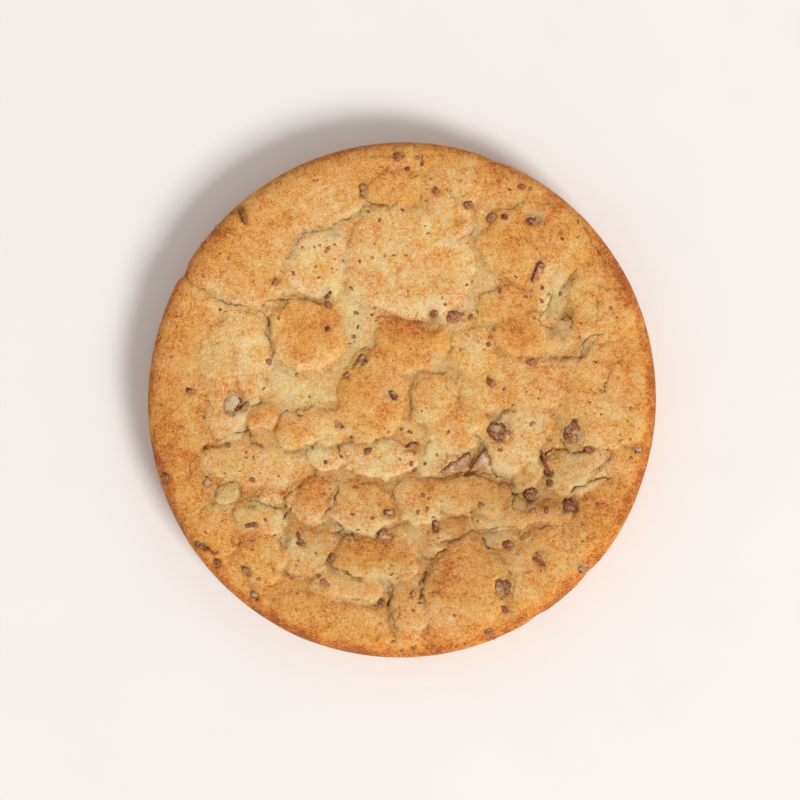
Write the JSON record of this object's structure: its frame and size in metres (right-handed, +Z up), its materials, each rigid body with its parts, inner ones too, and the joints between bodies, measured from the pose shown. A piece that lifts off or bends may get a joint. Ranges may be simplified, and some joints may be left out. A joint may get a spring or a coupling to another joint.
{
  "type": "cookie pie",
  "caption": "Thick round cookie pie with a cracked, lumpy golden top and chopped chocolate sunk in it, flat underneath so that it rests on a board or plate.",
  "frame": {"origin": "middle of the flat base, at the bottom of the cookie", "axes": "+Z up out of the cracked top, +X to the right and +Y to the far side as seen from straight above"},
  "size_m": [0.2544, 0.2581, 0.0319],
  "materials": {
    "crust": "baked dough, matte and crumbly, golden with a browner rim",
    "chocolate": "chopped milk chocolate, satin, dulled by baking"
  },
  "bodies": {
    "root": {"cookie": "crust", "chunk_slab": "chocolate", "chunk_slab_end": "chocolate", "chunk_ridge": "chocolate", "chunk_right": "chocolate", "chunk_seam_right": "chocolate", "chunk_block": "chocolate", "chunk_splinter": "chocolate", "chunk_pocket": "chocolate", "chunk_long": "chocolate", "chunk_lower_right": "chocolate", "chunk_low": "chocolate", "chunk_arch": "chocolate", "chunk_upper_left": "chocolate", "chunk_top": "chocolate", "chunk_pale": "chocolate", "chunk_lower_left": "chocolate", "chunk_hook": "chocolate"}
  },
  "joints": []
}
